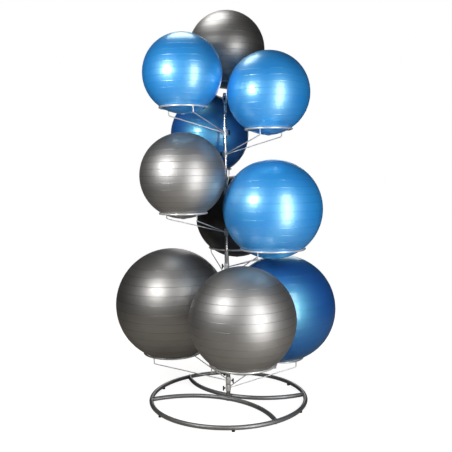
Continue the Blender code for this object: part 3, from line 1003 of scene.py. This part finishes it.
def knob(station):
    """Winged knob on a threaded shank, through the nut behind the collar."""
    start = station.pole + SEAT_GAP + COLLAR_WALL + NUT_LENGTH + KNOB_STANDOFF
    end = start + KNOB_HUB_LENGTH
    turn = Matrix.Rotation(station.bearing + math.pi, 4, "Z")
    matrix = Matrix.Translation((0.0, 0.0, station.collar)) @ turn
    body = f"{station.place}_knob"
    grip = joined([grip_shape(start, end), wing_shape(end)])
    shank = screw_shape(station.pole + SEAT_GAP, start + KNOB_HUB_LENGTH / 2)
    piece(f"grip_{station.place}", grip, body, MATERIALS["knob_plastic"],
          [f"knob_{station.place}"], matrix)
    piece(f"shank_{station.place}", shank, body, MATERIALS["steel"],
          [f"knob_{station.place}"], matrix, sharp=80.0)


# Balls


def ball_body(station):
    """Body that a station's ball rides on: its own, or the arm's where it can't be lifted."""
    own = f"{station.place}_ball"
    return own if own in frame["bodies"] else f"{station.place}_arm"


def rib_middles():
    """Angles from the equator, in radians, of the ribs' middle lines."""
    return [math.radians(RIB_ANGLE * (i - (RIB_COUNT - 1) / 2)) for i in range(RIB_COUNT)]


def rib_points(radius):
    """(angle from the equator, height over the skin) of the points of every rib."""
    points = []
    foot = RIB_HALF_WIDTH / radius
    shoulder = RIB_SHOULDER / radius
    for middle in rib_middles():
        for offset, height in (
            (-foot - shoulder, 0.0),
            (-foot, 0.0),
            (-foot / 2, RIB_SIDE_HEIGHT),
            (0.0, 1.0),
            (foot / 2, RIB_SIDE_HEIGHT),
            (foot, 0.0),
            (foot + shoulder, 0.0),
        ):
            points.append((middle + offset, height * RIB_HEIGHT))
    return points


def skin_points(radius):
    """(angle from the equator, nought) of the plain rings between the ribs and up to both poles."""
    lowest = -math.pi / 2 + VALVE_RIM_RADIUS * SKIN_MARGIN / radius
    highest = math.pi / 2 - PIP_RADIUS * SKIN_MARGIN / radius
    count = round(90.0 / SKIN_ANGLE)
    points = []
    for i in range(-count, count + 1):
        angle = math.radians(SKIN_ANGLE * i)
        clear = min(abs(angle - rib) for rib in rib_middles())
        if lowest < angle < highest and clear > SAME_ANGLE:
            points.append((angle, 0.0))
    return points


def ball_outline(radius):
    """Closed (radius, height) outline, from the top down the ribbed skin and back up inside."""
    skin_radius = radius - RIB_HEIGHT
    top = math.pi / 2
    valve = VALVE_RADIUS / radius
    rim = VALVE_RIM_RADIUS / radius
    pip = PIP_RADIUS / radius
    points = [
        (-top + valve, VALVE_RIM_INNER_EDGE),
        (-top + valve * (1.0 + RIM_BEVEL), VALVE_RIM_HEIGHT),
        (-top + rim * (1.0 - RIM_BEVEL), VALVE_RIM_HEIGHT),
        (-top + rim, VALVE_RIM_OUTER_EDGE),
        (-top + rim * (1.0 + RIM_BEVEL), 0.0),
    ]
    points += sorted(rib_points(radius) + skin_points(radius))
    points += [
        (top - pip * (1.0 + RIM_BEVEL), 0.0),
        (top - pip, 0.0),
        (top - pip * (1.0 - RIM_BEVEL), PIP_HEIGHT),
        (top - pip * PIP_FLAT_SHARE, PIP_HEIGHT),
    ]
    outline = [(0.0, radius - PIP_HEIGHT)]
    for angle, height in reversed(points):
        reach = skin_radius + height
        outline.append((reach * math.cos(angle), reach * math.sin(angle)))
    inside = radius - BALL_WALL - RIB_HEIGHT
    for i in range(INSIDE_STEPS, 0, -1):
        angle = top - (math.pi - VALVE_RADIUS / inside) * i / INSIDE_STEPS
        outline.append((inside * math.cos(angle), inside * math.sin(angle)))
    return [*outline, (0.0, inside)]


def ball(station):
    """Hollow ribbed ball with a moulded rim round its valve and a pip on top."""
    shape = turned(ball_outline(station.radius), BALL_STEPS)
    # The two back blue balls take the darker copy of the blue, which is painted shade
    looks = MATERIALS["shaded_blue" if station.place in SHADED_BLUE_PLACES else station.slot]
    piece(f"skin_{station.place}", shape, ball_body(station), looks,
          [f"ball_{station.place}"], Matrix.Translation(station.centre), sharp=60.0)


def valve_plug(station):
    """Push-in plug with a rounded flange, a finger groove and a barb."""
    node = f"valve_plug_{station.place}"
    low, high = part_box(node)
    bottom = low.z - station.centre.z
    top = high.z - station.centre.z
    barb = top - PLUG_BARB_LENGTH
    neck = VALVE_RADIUS - SEAT_GAP
    flange = (high.x - low.x) / 2
    outline = [
        (0.0, top),
        (PLUG_TIP_RADIUS, top),
        (PLUG_TIP_RADIUS + PLUG_BEVEL + PLUG_SLANT, top - PLUG_BEVEL),
        (PLUG_BARB_RADIUS, barb + PLUG_SLANT),
        (neck, barb),
        (neck, bottom + PLUG_FLANGE_HEIGHT),
        (flange - PLUG_BEVEL, bottom + PLUG_FLANGE_HEIGHT),
        (flange, bottom + PLUG_FLANGE_HEIGHT - PLUG_BEVEL),
        (flange - PLUG_BEVEL / 2, bottom + PLUG_LIP),
        (flange - PLUG_BEVEL * 2, bottom),
        (PLUG_GROOVE_OUTSIDE, bottom),
        (PLUG_GROOVE_OUTSIDE - PLUG_SLANT, bottom + PLUG_BEVEL),
        (PLUG_GROOVE_INSIDE + PLUG_SLANT, bottom + PLUG_BEVEL),
        (PLUG_GROOVE_INSIDE, bottom),
        (0.0, bottom),
    ]
    piece(f"plug_{station.place}", turned(outline, SMALL_SIDES * 2), ball_body(station),
          MATERIALS["valve_plastic"], [node], Matrix.Translation(station.centre))


# Studio


def aim(obj, target):
    heading = Vector(target) - obj.location
    obj.rotation_euler = heading.to_track_quat("-Z", "Y").to_euler()


def lamp(name, place, target, size, power):
    """Soft lamp that the camera doesn't see: round for one size, a rectangle for two."""
    data = bpy.data.lights.new(name, "AREA")
    if isinstance(size, tuple):
        data.shape = "RECTANGLE"
        data.size, data.size_y = size
    else:
        data.shape = "DISK"
        data.size = size
    data.energy = power
    obj = bpy.data.objects.new(name, data)
    bpy.context.scene.collection.objects.link(obj)
    obj.location = place
    obj.visible_camera = False
    aim(obj, target)


def studio_lamps():
    level = (0.0, 0.0, RIGHT_LAMP_PLACE[2])
    below = (TOP_LAMP_PLACE[0], TOP_LAMP_PLACE[1], 0.0)
    lamp("left_lamp", LEFT_LAMP_PLACE, LEFT_LAMP_TARGET, LEFT_LAMP_SIZE, LEFT_LAMP_POWER)
    lamp("right_lamp", RIGHT_LAMP_PLACE, level, RIGHT_LAMP_SIZE, RIGHT_LAMP_POWER)
    lamp("top_lamp", TOP_LAMP_PLACE, below, TOP_LAMP_SIZE, TOP_LAMP_POWER)
    lamp("back_lamp", BACK_LAMP_PLACE, BACK_LAMP_TARGET, BACK_LAMP_SIZE, BACK_LAMP_POWER)


def studio_world():
    """White where the camera sees it, and behind the rack in reflections; dim grey elsewhere."""
    world = bpy.data.worlds.new("studio")
    bpy.context.scene.world = world
    world.use_nodes = True
    tree = world.node_tree
    background = tree.nodes["Background"]
    path = tree.nodes.new("ShaderNodeLightPath")
    coords = tree.nodes.new("ShaderNodeTexCoord")
    parts = tree.nodes.new("ShaderNodeSeparateXYZ")
    tree.links.new(coords.outputs["Generated"], parts.inputs["Vector"])
    behind = tree.nodes.new("ShaderNodeMapRange")
    behind.inputs["From Min"].default_value = BACKDROP_START
    behind.inputs["From Max"].default_value = BACKDROP_FULL
    tree.links.new(parts.outputs["Y"], behind.inputs["Value"])

    def joined_by(operation, first, second):
        node = tree.nodes.new("ShaderNodeMath")
        node.operation = operation
        tree.links.new(first, node.inputs[0])
        tree.links.new(second, node.inputs[1])
        return node.outputs["Value"]

    mirrored = joined_by("MAXIMUM", path.outputs["Is Glossy Ray"], path.outputs["Is Transmission Ray"])
    mirrored = joined_by("MULTIPLY", mirrored, behind.outputs["Result"])
    white = joined_by("MAXIMUM", path.outputs["Is Camera Ray"], mirrored)
    strength = tree.nodes.new("ShaderNodeMapRange")
    strength.inputs["To Min"].default_value = STUDIO_LEVEL
    strength.inputs["To Max"].default_value = 1.0
    tree.links.new(white, strength.inputs["Value"])
    background.inputs["Color"].default_value = (1.0, 1.0, 1.0, 1.0)
    tree.links.new(strength.outputs["Result"], background.inputs["Strength"])


def studio_floor():
    """White floor that shows the rack's shadow near it and turns plain white further out."""
    mesh = bpy.data.meshes.new("floor")
    rings = [[Vector((0.0, 0.0, 0.0))]]
    for radius in FLOOR_RADII:
        rings.append(level_circle(radius, FLOOR_SIDES))
    points, faces = skin(rings)
    mesh.from_pydata([tuple(point) for point in points], [], faces)
    floor = bpy.data.objects.new("floor", mesh)
    bpy.context.scene.collection.objects.link(floor)
    graph = Graph("floor_looks")
    graph.constant(Roughness=0.9, Specular_IOR_Level=0.1)
    grain = graph.noise(EVEN, scale=60.0, detail=3.0)
    colour = graph.blend(graph.spread(grain, low=0.0, high=1.0), FLOOR_DARK, FLOOR_LIGHT)
    path = graph.add("ShaderNodeLightPath")
    length = graph.add("ShaderNodeVectorMath", operation="LENGTH")
    graph.link(graph.place(), length, 0)
    distance = length.outputs["Value"]
    glow = graph.spread(distance, FLOOR_GLOW, 1.0, start=FLOOR_GLOW_START, end=FLOOR_GLOW_FULL)
    seen = graph.work_out("MULTIPLY", glow, path.outputs["Is Camera Ray"])
    graph.constant(Emission_Color=(1.0, 1.0, 1.0, 1.0))
    graph.link(seen, graph.shader, "Emission Strength")
    mesh.materials.append(graph.finish(colour))


def photo_camera():
    """Camera at the photograph's place, from its pitch, yaw and roll."""
    pitch, yaw, roll = (math.radians(angle) for angle in (CAMERA_PITCH, CAMERA_YAW, CAMERA_ROLL))
    ahead = Vector((math.sin(yaw) * math.cos(pitch), math.cos(yaw) * math.cos(pitch), -math.sin(pitch)))
    level = Vector((math.cos(yaw), -math.sin(yaw), 0.0))
    upward = level.cross(ahead)
    right = level * math.cos(roll) + upward * math.sin(roll)
    top = upward * math.cos(roll) - level * math.sin(roll)
    data = bpy.data.cameras.new("photo_camera")
    data.lens = CAMERA_LENS
    data.sensor_width = CAMERA_SENSOR
    data.clip_start = CAMERA_NEAR
    data.clip_end = CAMERA_FAR
    camera = bpy.data.objects.new("photo_camera", data)
    bpy.context.scene.collection.objects.link(camera)
    turn = Matrix((right, top, -ahead)).transposed().to_4x4()
    camera.matrix_world = Matrix.Translation(CAMERA_PLACE) @ turn
    bpy.context.scene.camera = camera


def dress_plain_nodes():
    """Give the solids that stay as they are their procedural finish."""
    for node in ("hub_bolt", "pole_foot_plug"):
        frame["nodes"][node].material_slots[0].material = MATERIALS["steel"]


def build():
    base_ring()
    base_arc("arc_tube_back", "base_arc_back", ARC_BEARING)
    base_arc("arc_tube_front", "base_arc_front", ARC_BEARING + 180.0)
    for node in sorted(name for name in frame["nodes"] if name.startswith("foot_")):
        ring_foot(node)
    centre_foot()
    hub_socket()
    lower_pole()
    upper_pole()
    pole_cap()
    for place in [name[len("holder_"):] for name in frame["nodes"] if name.startswith("holder_")]:
        station = read_station(place)
        holder(station)
        knob(station)
        ball(station)
        valve_plug(station)
    dress_plain_nodes()
    studio_floor()
    studio_lamps()
    studio_world()
    photo_camera()
    bpy.context.scene.view_settings.view_transform = "Standard"


build()
